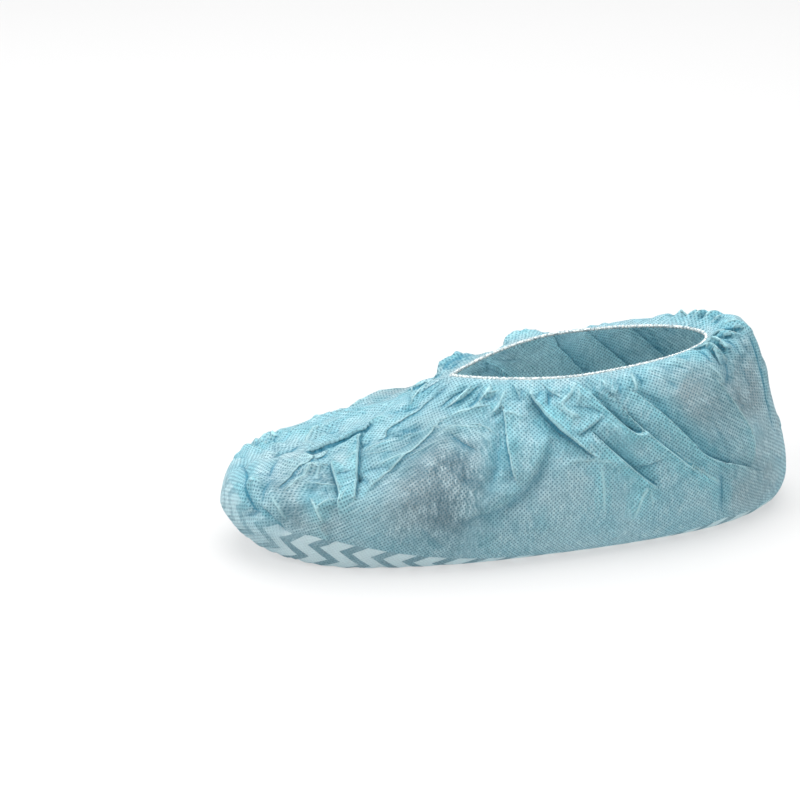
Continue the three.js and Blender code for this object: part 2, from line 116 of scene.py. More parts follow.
# Folds. A path is a list of (along, down) points: along goes from the toe (0) to the heel (1) on its
# side, and down from the opening (0) to the sole seam (1). Beside the path the cloth stands out by
# fore_rise on the toe side and by aft_rise on the heel side, or in where these are negative, and dies
# away over `fore` and `aft`, as flat faces (sharp 1) or with soft shoulders (sharp 2). Two different
# rises make a pleat, whose lip stands over its valley.
FOLD_COLUMNS = ("name", "side", "fore_rise", "fore", "aft_rise", "aft", "sharp", "path")
FOLDS = (
    # Pleats from the rim across the near side
    ("pleat 1", "near", -3.4, 13, 2.8, 8, 1.1,
     ((.27, .04), (.33, .09), (.37, .13), (.472, .229), (.575, .345))),
    ("pleat 2", "near", 2, 8, -2.8, 8, 1.1, ((.49, .19), (.594, .316), (.656, .42), (.68, .465))),
    ("pleat 2 tick", "near", -1.4, 4, 1.0, 5, 1.2, ((.485, .23), (.5, .2), (.52, .155))),
    ("pleat 3", "near", 2.2, 10, -3.4, 9, 1.1, ((.4, -.02), (.511, .126), (.608, .243), (.64, .262))),
    ("pleat 3 rise", "near", 2.2, 6, -1.2, 7, 1.1, ((.47, .02), (.619, .227), (.714, .382), (.767, .5))),
    ("pleat 4", "near", 2.3, 9, -3.2, 11, 1.1,
     ((.52, .03), (.644, .179), (.731, .326), (.772, .422), (.88, .61))),
    ("pleat 4 low", "near", 2, 5, .2, 5, 1.1, ((.66, .28), (.75, .447), (.79, .535))),
    ("pleat cross", "near", -1.4, 4, .8, 4, 1.2, ((.63, .385), (.66, .378), (.69, .365))),
    ("low fork", "near", 1.6, 4, 1.4, 4, 1.2, ((.66, .42), (.65, .49), (.638, .57))),
    ("low fork arm", "near", 1, 4, 1, 4, 1.2, ((.655, .42), (.665, .48), (.672, .52))),
    # Heel quarter, near side
    ("heel ridge", "near", 1.6, 8, .4, 5, 1.2,
     ((.755, .03), (.794, .189), (.83, .3), (.858, .418), (.856, .503), (.839, .554))),
    ("heel gather a", "near", -2, 5, 1.6, 5, 1.1, ((.935, -.01), (.947, .07), (.956, .16))),
    ("heel gather b", "near", -2, 5, 1.6, 5, 1.1, ((.875, -.01), (.867, .06), (.852, .14))),
    ("heel gather c", "near", -1.8, 5, 1.4, 5, 1.1, ((.84, -.01), (.835, .07), (.81, .16))),
    ("heel gather d", "near", -1.8, 5, 1.4, 5, 1.1, ((.905, -.01), (.91, .06), (.912, .13))),
    ("heel short", "near", -1.2, 4, -1.2, 4, 1.2, ((.825, .08), (.825, .17), (.812, .23))),
    ("heel back", "near", -2.4, 7, -1.6, 6, 1.3, ((.955, .13), (.944, .24), (.935, .4), (.926, .56))),
    ("heel corner", "near", -1.4, 5, -1.4, 5, 1.2, ((.788, .48), (.79, .56), (.793, .66))),
    # Pouch over the toes, near side
    ("pouch", "near", 3.5, 24, 3.5, 24, 2, ((.16, .17), (.24, .33), (.3, .48))),
    ("pouch hem", "near", -1.4, 9, 1.7, 7, 1.1,
     ((.19, .03), (.261, .128), (.345, .25), (.422, .372), (.445, .41))),
    ("pouch dark", "near", -2.2, 7, -2.2, 6, 1.5, ((.26, .14), (.33, .26), (.385, .36), (.405, .51))),
    ("under pouch", "near", 2.2, 13, -3, 13, 1.6,
     ((.405, .16), (.45, .295), (.465, .42), (.435, .485), (.37, .545))),
    ("scallop 1", "near", -1.5, 5, 1, 4, 1.2, ((.21, -.01), (.235, .025), (.275, .075))),
    ("scallop 2", "near", -1.5, 5, 1, 4, 1.2, ((.31, .0), (.345, .045), (.385, .07))),
    ("pleat 1 top", "near", 1.4, 5, 1, 4, 1.1, ((.42, .01), (.4, .05), (.375, .1))),
    ("scallop 3", "near", -1.2, 4, -1.2, 4, 1.2, ((.318, .02), (.31, .06), (.3, .1))),
    # Vamp
    ("vamp pleat", "near", 1, 5, -1.8, 4, 1.2, ((.13, .0), (.12, .08), (.1, .13))),
    ("vamp hook", "near", -1.3, 4, -1.3, 4, 1.2, ((.13, .08), (.16, .075), (.19, .06), (.18, .02))),
    ("vamp fork stem", "near", 1.7, 7, -1, 8, 1.1, ((.12, .14), (.161, .252), (.189, .373), (.217, .525))),
    ("vamp fork arm", "near", 1.2, 4, 1, 5, 1.2, ((.125, .155), (.161, .109), (.21, .08))),
    ("vamp crease long", "near", 1, 5, -1.3, 5, 1.2,
     ((.035, .04), (.05, .16), (.056, .264), (.081, .302), (.086, .37))),
    ("vamp crease short", "near", -1.6, 4, -1.6, 4, 1.2, ((.05, .145), (.022, .19), (.026, .25))),
    ("vamp triangle left", "near", 1.8, 7, -1.6, 7, 1.1,
     ((.03, .33), (.042, .354), (.122, .416), (.2, .519), (.215, .545))),
    # Toe
    ("toe long", "near", .9, 5, -2.6, 5, 1.1,
     ((.012, .29), (.022, .343), (.031, .445), (.031, .513), (.025, .545))),
    ("toe long low", "near", 1.2, 5, -1.6, 6, 1.2,
     ((.03, .44), (.061, .48), (.064, .55), (.086, .61), (.1, .65))),
    ("toe ridge", "near", -1.6, 6, 2, 7, 1.1, ((.085, .455), (.1, .478), (.175, .538), (.208, .617))),
    ("toe dark", "near", -1.8, 6, -1.8, 6, 1.5, ((.08, .48), (.14, .575), (.165, .635))),
    ("toe dark rib", "near", .9, 3, .9, 3, 1.1, ((.142, .575), (.11, .53), (.075, .487))),
    ("toe light ridge", "near", 1.6, 5, .6, 5, 1.2, ((.065, .485), (.1, .57), (.11, .64))),
    ("toe pucker 1", "near", -1.6, 4, -1.6, 4, 1.2, ((-.01, .55), (0, .61), (.005, .68))),
    ("toe pucker 2", "near", -1.4, 4, -1.4, 4, 1.2, ((.015, .63), (.035, .643), (.06, .655))),
    ("toe pleat", "near", -1.8, 4, -2.6, 5, 1.1,
     ((-.02, .755), (.02, .747), (.05, .734), (.072, .738), (.09, .742))),
    ("toe foot crease", "near", -1.4, 4, -1.4, 4, 1.2, ((.06, .8), (.078, .76), (.092, .72))),
    ("toe side crease", "near", -1.2, 4, -1.2, 4, 1.2, ((.06, .63), (.078, .67), (.093, .7))),
    # Low creases of the near side
    ("low crease 1", "near", 1.3, 3.5, 1.1, 3.5, 1.2, ((.57, .335), (.588, .43), (.594, .53))),
    ("low crease 2", "near", .9, 3.5, .9, 3.5, 1.2, ((.49, .325), (.567, .335), (.62, .36))),
    # Far side
    ("front puff", "far", 7, 12, 7, 12, 2, ((.12, .1), (.17, .09), (.24, .07))),
    ("side puff", "far", 7, 13, 7, 13, 2, ((.33, .08), (.4, .09), (.47, .07))),
    ("far pleat 1", "far", -2.4, 12, 2, 10, 1.6, ((.27, .1), (.42, .24), (.58, .44))),
    ("far pleat 2", "far", 2, 10, -3, 9, 1.1, ((.47, .06), (.57, .2), (.7, .44))),
    ("far pleat 3", "far", 2.2, 9, -2.8, 11, 1.1, ((.56, .06), (.67, .22), (.78, .44), (.86, .6))),
    ("far pleat 4", "far", 1.8, 8, -2.6, 8, 1.1, ((.68, .06), (.74, .2), (.84, .42))),
    ("far pleat 5", "far", 1.6, 7, -2.2, 7, 1.1, ((.81, .06), (.84, .16), (.88, .32))),
    ("far pouch", "far", 1.4, 22, 1.4, 22, 2, ((.17, .28), (.24, .4), (.3, .5))),
    ("far pouch hem", "far", 2.2, 10, -.8, 5, 1.2, ((.17, .04), (.27, .17), (.37, .33))),
    ("far valley", "far", 2, 11, -3.6, 11, 1.6, ((.38, .18), (.43, .38), (.39, .5), (.3, .59))),
    ("far vamp valley", "far", 1.2, 6, -2.6, 5, 1.2, ((.04, .18), (.09, .36), (.18, .54))),
    ("far vamp crease", "far", -1.8, 5, 1, 4, 1.2, ((.07, .04), (.08, .14), (.12, .24))),
    ("vamp top blue", "far", -2, 4, 1, 5, 1.1, ((.06, .41), (.05, .372), (.047, .325), (.03, .27))),
    ("vamp top dark", "far", -1.2, 5, 1, 4, 1.1, ((.0, .5), (.011, .481), (.025, .428), (.03, .4))),
    ("toe crest", "far", 1.6, 5, -1.6, 5, 1.1, ((.02, .58), (.04, .6), (.07, .621), (.1, .64))),
    ("toe crest low", "far", 1.6, 6, -1.8, 5, 1.1, ((.0, .66), (.05, .655), (.09, .68))),
    ("far toe fold", "far", 1.2, 6, -2.4, 5, 1.2, ((.02, .38), (.06, .52), (.12, .64))),
    ("far toe pleat", "far", .8, 5, -2, 4, 1.2, ((.02, .72), (.05, .74), (.08, .76))),
    ("far heel hollow", "far", -2.4, 7, -1.6, 6, 1.3, ((.95, .13), (.93, .36), (.925, .56))),
    ("far low crease", "far", 1.1, 4, 1.1, 4, 1.2, ((.56, .36), (.58, .44), (.585, .54))),
)

# Gathers along the elastic edge: rows of short folds between two places along one side, which slant by
# about their spread. RIM_VARY gives the shares between which each gather's own sizes are drawn.
GATHER_COLUMNS = ("side", "count", "start", "end", "spread", "length", "height", "width")
RIM_GATHERS = (
    ("near", 11, .82, 1.0, -.03, .2, 2.6, 3.2),
    ("far", 11, .82, 1.0, -.03, .2, 2.6, 3.2),
    ("near", 16, .22, .8, .04, .11, 1.8, 3),
    ("far", 12, .22, .8, .04, .11, 1.1, 3),
    ("near", 8, .02, .22, .02, .13, 2, 3),
    ("far", 6, .02, .22, .02, .13, 1.2, 3),
)
RIM_VARY = {"place": (.2, .8), "length": (.5, 1.1), "spread": (.2, 1.2), "height": (.5, 1.2),
            "width": (.8, 1.3)}
RIM_SEED = 3
RIM_TOP = -.03          # where a gather starts, above the edge
RIM_SHARP = 1.4

# Gathers that the seam draws up across the sole. root is the distance from the seam over which they rise,
# and under the height of a normal that counts as the underside.
SOLE_GATHERS = {"seed": 5, "count": 27, "start": -146, "end": 146, "place": (.25, .75), "slope": .35,
                "depth": 2.6, "vary": (.5, 1.1), "reach": (24, 46), "fade": .8, "width": 4.2, "root": 4,
                "under": -.75}

# Small creases scattered over the cloth. A zone spans shares along and down both sides. drift is the fall
# of its creases per length, and scatter how much that varies. step is a crease's heel side against its
# toe side, bow how much it curves, and crisp the strength of its edge.
CRUMPLES = {"seed": 11, "width": (2.2, 7), "step": (-.4, 1), "bow": .15, "sharp": 1.1, "crisp": .9}
CRUMPLE_COLUMNS = ("name", "count", "along", "down", "length", "height", "drift", "scatter")
CRUMPLE_ZONES = (
    ("vamp", 60, (0, .24), (.05, .4), (10, 34), (.8, 2.2), .2, .9),
    ("toe", 76, (0, .2), (.38, .74), (8, 26), (.9, 2.4), 1.2, 1.5),
    ("toe crest", 26, (0, .07), (.48, .76), (8, 18), (.5, 1.3), 2, 2),
    ("rim", 50, (.22, .8), (.03, .22), (9, 30), (.5, 1.6), 1.1, .6),
    ("side", 46, (.2, .8), (.2, .62), (10, 40), (.4, 1.1), 1.0, 1.2),
    ("heel", 60, (.78, 1), (.08, .66), (8, 30), (.5, 1.4), 2.2, 1.6),
)

# Patches of grey, of painted sheen and of painted shade, each fading over its reach
PATCH_TONES = ("grey", "pale", "shade")
PATCH_COLUMNS = ("tone", "side", "along", "down", "reach", "strength")
PATCHES = (
    ("grey", "near", .2, .3, 26, .9),
    ("grey", "near", .3, .42, 34, 1.0),
    ("grey", "near", .36, .55, 24, .5),
    ("grey", "near", .09, .56, 20, 1.0),
    ("grey", "near", .17, .63, 18, .9),
    ("grey", "near", .86, .27, 34, 1.0),
    ("grey", "near", .95, .42, 38, 1.0),
    ("grey", "near", .77, .22, 28, 1.0),
    ("grey", "near", .85, .55, 30, .9),
    ("grey", "far", .25, .35, 30, .8),
    ("grey", "far", .8, .3, 30, .7),
    ("grey", "far", .2, .15, 34, 1.0),
    ("grey", "far", .4, .2, 34, .8),
    ("grey", "near", .03, .6, 24, .7),
    ("grey", "near", .06, .42, 20, .6),
    ("pale", "near", .5, .42, 13, .9),
    ("pale", "near", .46, .48, 13, .8),
    ("pale", "near", .03, .62, 20, .7),
    ("pale", "near", .9, .5, 26, .4),
    ("shade", "near", .125, .53, 8, .9),
    ("shade", "near", .12, .37, 8, .7),
    ("shade", "near", .29, .36, 30, .95),
    ("shade", "near", .35, .5, 24, .95),
    ("shade", "near", .44, .36, 14, .5),
    ("shade", "near", .13, .66, 12, .7),
    ("shade", "near", .085, .63, 9, .7),
    ("shade", "near", .83, .27, 20, .5),
    ("shade", "far", .3, .4, 24, .6),
)

# Printed tread. It begins at these shares of the way down, given at shares of the way from toe to heel.
# Forward of its bend the print turns round the toe, measured along one row of the cloth, and grows faint.
PRINT_ALONG = (0, .03, .06, .1, .14, .17, .2, .25, .8, .93, 1)
PRINT_DOWN = (.85, .785, .755, .725, .715, .69, .678, .673, .68, .78, .94)
PRINT_BEND = -110.0
PRINT_ROW = 0.8
PRINT_EDGE = 0.6        # width over which the print begins
PRINT_FAINT = (-150, -126)  # places along X between which it grows from faint to full
PRINT_INSIDE = 0.65     # how much of it is lost on the inner face
CHEVRON = {"pitch": 16.0, "start": 13.8, "row": 17.0, "top": 2.0, "slope": 1.26, "light": 0.6, "soft": 0.04}

# Stitched edges
EDGING = {"core": 0.8, "thread": 0.38, "pitch": 2.05, "slant": 34}
SEAM = {"core": 0.55, "thread": 0.3, "pitch": 2.6, "slant": 30}
SEAM_DROP = 1.0         # how far the seam's line lies under the cloth
SEAM_END_SHARE = 0.03
CORE_SIDES = 10
STITCH_SIDES = (12, 6)
WELD = 0.001

# Colours as seen on screen
CLOTH_COLOURS = {
    "pale": (192, 227, 235),
    "blue": (158, 217, 230),
    # cyan: the fuller colour of folds, partly painted light
    "cyan": (156, 242, 252),
    # deep: the painted shade in the folds' valleys and clefts
    "deep": (14, 138, 172),
    # the painted highlight on the folds' lips
    "lip_highlight": (216, 250, 253),
    "grey": (188, 185, 182),
    # fuzz: the web's fibres, and the painted sheen on pale patches
    "fuzz": (232, 246, 249),
    "dot": (70, 128, 148),
    "shade": (112, 138, 148),
    "dim": (104, 137, 154),
    "lit": (230, 254, 255),
    "print light": (246, 253, 254),
    "print dark": (142, 178, 188),
}
EDGING_COLOURS = ((222, 226, 222), (126, 148, 156))
SEAM_COLOURS = ((96, 178, 204), (52, 138, 170))

# Noises of the finishes: scale in cells to a metre, detail, and roughness of that detail
NOISES = {
    "cloud": (45.0, 3.0, 0.55),
    "patch": (110.0, 2.0, 0.5),
    "fibre": (900.0, 3.0, 0.65),
    "strand": (650.0, 3.0, 0.65),
    "grain": (700.0, 2.0, 0.7),
    "bend": (40.0, 2.0, 0.5),
    "wander": (240.0, 1.0, 0.5),
    "twist": (900.0, 3.0, 0.6),
}

# The two values of a pattern that become 0 and 1
CONTRAST = {"cloud": (0.3, 0.7), "patch": (0.35, 0.65), "fibre": (0.36, 0.64), "strand": (0.36, 0.64),
            "grain": (0.34, 0.66), "grey": (0.15, 0.95), "dot": (0.16, 0.42), "twist": (0.35, 0.65)}

# Shares as (least, more): what is there everywhere, and what a pattern adds where it is full
SHARES = {
    "grey": (0.65, 0.35),
    # painted sheen on pale patches
    "pale": (0.35, 0.5),
    "shade": (0.5, 0.5),
    "print": (0.45, 0.5),
    "cover": (0.45, 0.45),
    "web": (0.4, 0.5),
    "dot": (0.5, 0.45),
    # painted shade in a fold's cleft, more on the inner face
    "cleft": (0.65, 0.2),
    "cloth roughness": (0.78, 0.12),
    "thread roughness": (0.7, 0.15),
}

# Finish of the cloth
DOT_PITCH = 2.3
DOT_WANDER = 0.9        # how far the lattice of dots strays
FIBRES = {"turn": (0, 0, 0.6), "stretch": (1, 0.2, 1)}
STRANDS = {"turn": (0, 0, -0.9), "stretch": (1, 0.3, 1)}
WEB_PARTS = (0.6, 0.4)  # shares of fibres and strands in the web
WEB_IN_FOLDS = 0.4      # how much web is lost in a fold's fuller colour, partly painted light
CLOUD_LIFT = 0.5        # added to the clouds that break up the grey
PITS = 0.6              # dark between the fibres
LINE_EDGE = 0.2         # half the width of the step from a fold's one side to the other
# Painted highlight on a fold's lip and painted shade in its cleft
LIP = {"rise": (0.2, 2.0), "width": (0.3, 1.3), "share": 0.75}
CLEFT = {"rise": (0.1, 2.4), "width": (0.2, 1.3)}
# how much of the painted shade shows in a fold's valley
VALLEY_DARK = 0.4
# how much cyan shows in a fold's fuller colour, partly painted light
FOLD_CYAN = 0.8
CELLS = {"facet": 75.0, "crinkle": 190.0}  # facets of the crumpled cloth, in cells to a metre
FACET_BEND = 12         # how far their edges stray
HEIGHTS = {"crinkle": 0.3, "lip_highlight": 0.35, "cleft": -0.2, "web": 0.6}  # against a facet's or a dot's
RELIEF = {"facet": (1.0, 2.2), "web": (0.6, 0.2), "thread": (0.4, 0.1)}  # strength and depth
THROUGH = 0.55          # share of the light that comes through the cloth
CLOTH_GLOSS = {"Specular IOR Level": 0.25, "Sheen Weight": 0.15}
THREAD_GLOSS = {"Specular IOR Level": 0.3, "Sheen Weight": 0.2}

# Studio, in metres
FLOOR = {"size": 8, "tone": 0.26, "glow": 0.51, "roughness": 0.6, "gloss": 0.2}
WORLD_LIGHT = 0.42
LIGHT_AIM = (0, 0, 0.05)
LIGHT_COLUMNS = ("name", "place", "size", "power")
LIGHTS = (
    ("key", (-1.5, -0.2, 1.15), (1.0, 1.0), 30),
    ("overhead", (0.1, 0.4, 1.7), (2.2, 1.8), 52),
    ("front_fill", (1.3, -1.8, 0.8), (1.6, 1.2), 19),
)


# Helpers

def rows_of(columns, rows):
    """A table's rows with named columns."""
    return [dict(zip(columns, row)) for row in rows]


def ramp(values, low, high):
    """0 below low, 1 above high and straight between."""
    return np.clip((values - low) / (high - low), 0, 1)


def eased(values, low, high):
    """0 below low, 1 above high and an even curve between."""
    t = ramp(values, low, high)
    return t * t * (3 - 2 * t)


def unit(vectors):
    """Vectors at length 1."""
    return vectors / np.maximum(np.linalg.norm(vectors, axis=-1, keepdims=True), TINY)


def lengths_along(line):
    """How far along a line of points each of them lies."""
    steps = np.linalg.norm(np.diff(line, axis=0), axis=1)
    return np.concatenate([[0], np.cumsum(steps)])


def spaced(line, shares):
    """Points at the given shares of the length of a line of points."""
    reach = lengths_along(line)
    return np.stack([np.interp(shares * reach[-1], reach, line[:, k]) for k in range(3)], axis=1)


def curve_through(knots, count):
    """A smooth curve through knots, which are points or whole rings of points."""
    knots = np.array(knots, dtype=float)
    ends = np.concatenate([2 * knots[:1] - knots[1:2], knots, 2 * knots[-1:] - knots[-2:-1]])
    curve = []
    for place in np.linspace(0, len(knots) - 1, count):
        k = min(int(place), len(knots) - 2)
        t = place - k
        a, b, c, d = ends[k:k + 4]
        curve.append(b + 0.5 * t * (c - a + t * (2 * a - 5 * b + 4 * c - d + t * (3 * b - a - 3 * c + d))))
    return np.array(curve)


def choose(piece):
    """Make one piece the only one that the next operators act on."""
    bpy.ops.object.select_all(action="DESELECT")
    piece.select_set(True)
    bpy.context.view_layer.objects.active = piece


def place_camera():
    """A camera at the photograph's viewing angle."""
    turn = math.radians(CAMERA_AZIMUTH)
    rise = math.radians(CAMERA_ELEVATION)
    back = Vector((math.sin(turn) * math.cos(rise), -math.cos(turn) * math.cos(rise), math.sin(rise)))
    eye = (Vector(CAMERA_PIVOT) + CAMERA_DISTANCE * back) * MM
    lens = bpy.data.cameras.new("camera")
    lens.sensor_fit = "HORIZONTAL"
    lens.angle = math.radians(CAMERA_ANGLE)
    lens.clip_start = CAMERA_NEAREST * MM
    camera = bpy.data.objects.new("camera", lens)
    camera.location = eye
    camera.rotation_euler = (Vector(CAMERA_AIM) * MM - eye).to_track_quat("-Z", "Y").to_euler()
    bpy.context.collection.objects.link(camera)
    bpy.context.scene.camera = camera


# The cloth's form

def section_height(section, x):
    """Height of a section at x."""
    t = (x - section["toe"]) / (section["heel"] - section["toe"])
    toe, mid, heel = section["z_toe"], section["z_mid"], section["z_heel"]
    if section["level"] == 0:
        return toe + (heel - toe) * t + (mid - (toe + heel) / 2) * 4 * t * (1 - t)
    half = section["level"] / 2
    past = np.clip((np.abs(t - 0.5) - half) / (0.5 - half), 0, 1)
    return mid + (np.where(t < 0.5, toe, heel) - mid) * (1 - np.sqrt(1 - past ** 2))


def section_ring(section):
    """Evenly spaced points round a section."""
    turn = np.linspace(0, 2 * math.pi, OUTLINE_STEPS)
    c, s = np.cos(turn), np.sin(turn)
    middle = section["toe"] + section["widest"] * (section["heel"] - section["toe"])
    back = c > 0
    bend = np.where(back, section["heel_power"], section["toe_bend"])
    point = np.where(back, 1 / section["heel_power"], section["toe_point"])
    x = middle + np.where(back, section["heel"] - middle, middle - section["toe"]) * c
    y = section["half"] * np.sign(s) * np.maximum(0, 1 - np.abs(c) ** bend) ** point
    return spaced(np.stack([x, y, section_height(section, x)], axis=1), np.arange(AROUND) / AROUND)


def smooth_form():
    """The unfolded cloth as rows of points, from the opening to the sole seam."""
    rings = [section_ring(section) for section in rows_of(SECTION_COLUMNS, SECTIONS)]
    fine = curve_through(rings, MERIDIAN_STEPS)
    form = np.stack([spaced(fine[:, j], ROW_SHARES) for j in range(AROUND)], axis=1)
    form[..., 2] = np.maximum(form[..., 2], 0)
    return form


def facing(columns):
    """Columns that face the given ones across the sole seam."""
    return (AROUND - columns) % AROUND


def normals_of(form):
    """Outward normals of a form."""
    round_way = np.roll(form, -1, axis=1) - np.roll(form, 1, axis=1)
    normals = np.cross(np.gradient(form, axis=0), round_way)
    normals[-1] = normals[-2] + normals[-2][facing(np.arange(AROUND))]
    return unit(normals)


def point_at(form, side, along, down):
    """Point of a form at a side's along and down shares, or straight above it where down is negative."""
    column = (0.5 + along / 2 if side == "near" else 0.5 - along / 2) * AROUND
    row = min(np.interp(down, ROW_SHARES, np.arange(ROWS)), ROWS - 1.001)
    i, j = int(row), int(math.floor(column))
    upper = form[i, j % AROUND] * (1 - column + j) + form[i, (j + 1) % AROUND] * (column - j)
    lower = form[i + 1, j % AROUND] * (1 - column + j) + form[i + 1, (j + 1) % AROUND] * (column - j)
    return upper + (lower - upper) * (row - i) + min(down, 0) * PANEL_DOWN * np.array([0, 0, -1])


class Cloth:
    """The cloth panel while it is being folded."""

    def __init__(self):
        self.form = smooth_form()
        self.points = self.form.reshape(-1, 3)
        self.out = normals_of(self.form).reshape(-1, 3)
        self.rise = np.zeros(len(self.points))
        self.shift = np.zeros_like(self.points)
        self.tones = {name: np.zeros(len(self.points)) for name in ("valley", "blue", "near", "fore", "aft")}
        self.tones["line"] = np.full(len(self.points), LINE_LIMIT)
        self.weight = np.zeros(len(self.points))
        self.snapped = np.zeros(len(self.points), dtype=bool)
        below = np.linalg.norm(self.form - self.form[:1], axis=-1).reshape(-1)
        self.held = (1 - np.exp(-below / RIM_REACH)) * eased(self.points[:, 2], *FLOOR_SLACK)

    def fold(self, line, rises, widths, sharp, mirrored=False, crisp=1):
        """Fold the cloth along a line of points.

        rises and widths are those of the line's toe and heel sides, and crisp is the strength of its edge.
        """
        chosen, signed, share, across = self.beside(line, max(widths), mirrored)
        soft = sharp >= SOFT_FOLD
        half = SOFT_HALF if soft else WALL_HALF
        if abs(rises[0] - rises[1]) >= PLEAT_STEP and not soft:
            half = LIP_GAP
            signed = self.snap(chosen, signed, share, across)
        gap = np.abs(signed)
        fore = eased(signed, -half, half)
        fade = (1 - np.abs(2 * share - 1) ** FOLD_END) * self.held[chosen]
        sides = [rise * np.maximum(0, 1 - gap / width) ** sharp for rise, width in zip(rises, widths)]
        self.rise[chosen] += fade * (sides[1] + (sides[0] - sides[1]) * fore)
        if max(widths) > WIDE_FOLD:
            return
        self.tint(chosen, signed, fade, rises, widths)
        if not soft:
            self.draw_line(chosen, signed, fade, rises, crisp)

    def beside(self, line, reach, mirrored):
        """The points near a line, their distances from it, shares along it and ways across it.

        Distances are positive on the toe side.
        """
        near = (self.points > line.min(axis=0) - reach) & (self.points < line.max(axis=0) + reach)
        chosen = np.flatnonzero(near.all(axis=1))
        points, out = self.points[chosen], self.out[chosen]
        gap = np.full(len(chosen), np.inf)
        signed = np.zeros(len(chosen))
        share = np.zeros(len(chosen))
        across = np.zeros((len(chosen), 3))
        for k in range(len(line) - 1):
            run = line[k + 1] - line[k]
            t = np.clip((points - line[k]) @ run / max(run @ run, TINY), 0, 1)
            offset = points - line[k] - t[:, None] * run
            distance = np.linalg.norm(offset, axis=1)
            closer = distance < gap
            forward = np.cross(run, out) * (-1 if mirrored else 1)
            gap[closer] = distance[closer]
            signed[closer] = (np.sign((forward * offset).sum(axis=1)) * distance)[closer]
            share[closer] = (k + t[closer]) / (len(line) - 1)
            across[closer] = forward[closer]
        return chosen, signed, share, across

    def snap(self, chosen, signed, share, across):
        """Move the points beside a pleat's line to its two edges, and give their new distances."""
        distance = np.full(len(self.points), np.nan)
        low, high = LIP_ENDS
        middle = (share > low) & (share < high)
        distance[chosen[middle]] = signed[middle]
        grid = distance.reshape(self.form.shape[:2])
        beside = np.zeros(grid.shape, dtype=bool)
        for turn, axis in ((-1, 1), (1, 1), (-1, 0), (1, 0)):
            beside |= grid * np.roll(grid, turn, axis=axis) < 0
        taken = beside.reshape(-1)[chosen] & ~self.snapped[chosen] & (self.held[chosen] > LIP_HELD)
        target = np.where(taken, np.sign(signed) * LIP_GAP, signed)
        self.shift[chosen] += unit(across) * (target - signed)[:, None]
        self.snapped[chosen[taken]] = True
        return target

    def tint(self, chosen, signed, fade, rises, widths):
        """Give a fold its fuller colour, partly painted light, and the painted shade in its valley."""
        gap = np.abs(signed)
        rise = np.where(signed > 0, *rises)
        strength = fade * np.minimum(1, np.abs(rise) / TONE_RISE)
        reach = np.maximum(VALLEY_TONE, VALLEY_SHARE * np.where(signed > 0, *widths))
        self.deepen("valley", chosen, strength * (rise < 0) * np.exp(-gap / reach))
        self.deepen("blue", chosen, strength * np.exp(-((gap / FOLD_TONE) ** 2)))

    def deepen(self, name, chosen, amount):
        """Raise a tone to the given amounts where it is less."""
        tone = self.tones[name]
        tone[chosen] = np.maximum(tone[chosen], amount)

    def draw_line(self, chosen, signed, fade, rises, crisp):
        """Keep a fold's line as a signed distance, so that its edge stays crisp between the points."""
        gap = np.abs(signed)
        weight = fade * max(map(abs, rises)) * np.exp(-gap / VALLEY_TONE)
        first = weight > self.weight[chosen]
        taken = chosen[first]
        self.weight[taken] = weight[first]
        self.tones["line"][taken] = np.clip(signed, -LINE_LIMIT, LINE_LIMIT)[first]
        self.tones["near"][taken] = (1 - ramp(gap, *LINE_NEAR))[first]
        self.tones["fore"][taken] = (crisp * fade * rises[0])[first]
        self.tones["aft"][taken] = (crisp * fade * rises[1])[first]

    def line_on(self, side, path):
        """A smooth line over the unfolded cloth through a path's points."""
        return curve_through([point_at(self.form, side, *place) for place in path], FOLD_STEPS)

    def named_folds(self):
        """The folds of the table."""
        for row in rows_of(FOLD_COLUMNS, FOLDS):
            rises = (FOLD_FULLNESS * row["fore_rise"], FOLD_FULLNESS * row["aft_rise"])
            self.fold(self.line_on(row["side"], row["path"]), rises, (row["fore"], row["aft"]), row["sharp"],
                      mirrored=row["side"] == "far")

    def rim_gathers(self):
        """Short folds below the edging, by turns out and in."""
        chance = np.random.default_rng(RIM_SEED)
        for row in rows_of(GATHER_COLUMNS, RIM_GATHERS):
            for k in range(row["count"]):
                place = (k + chance.uniform(*RIM_VARY["place"])) / row["count"]
                along = row["start"] + (row["end"] - row["start"]) * place
                length = row["length"] * chance.uniform(*RIM_VARY["length"])
                lower = along + row["spread"] * chance.uniform(*RIM_VARY["spread"])
                path = [(along, RIM_TOP), ((along + lower) / 2, length / 2), (lower, length)]
                height = row["height"] * chance.uniform(*RIM_VARY["height"]) * (1 if k % 2 else -1)
                width = row["width"] * chance.uniform(*RIM_VARY["width"])
                self.fold(self.line_on(row["side"], path), (height, height), (width, width), RIM_SHARP)

    def crumples(self):
        """Small creases scattered over each zone."""
        chance = np.random.default_rng(CRUMPLES["seed"])
        for zone in rows_of(CRUMPLE_COLUMNS, CRUMPLE_ZONES):
            for k in range(zone["count"]):
                side = "near" if k % 2 else "far"
                along, down = chance.uniform(*zone["along"]), chance.uniform(*zone["down"])
                centre = point_at(self.form, side, along, down)
                normal = self.out[np.argmin(((self.points - centre) ** 2).sum(axis=1))]
                fall = chance.normal(zone["drift"], zone["scatter"])
                run = np.cross(normal, np.cross([1, 0, -fall], normal))
                run *= chance.uniform(*zone["length"]) / 2 / np.linalg.norm(run)
                bow = np.cross(normal, run) * chance.normal(0, CRUMPLES["bow"])
                height = chance.uniform(*zone["height"]) * chance.choice([-1, 1])
                widths = chance.uniform(*CRUMPLES["width"], size=2)
                rises = (height, height * chance.uniform(*CRUMPLES["step"]))
                line = curve_through([centre - run, centre + bow, centre + run], FOLD_STEPS)
                self.fold(line, rises, tuple(widths), CRUMPLES["sharp"], side == "far", CRUMPLES["crisp"])

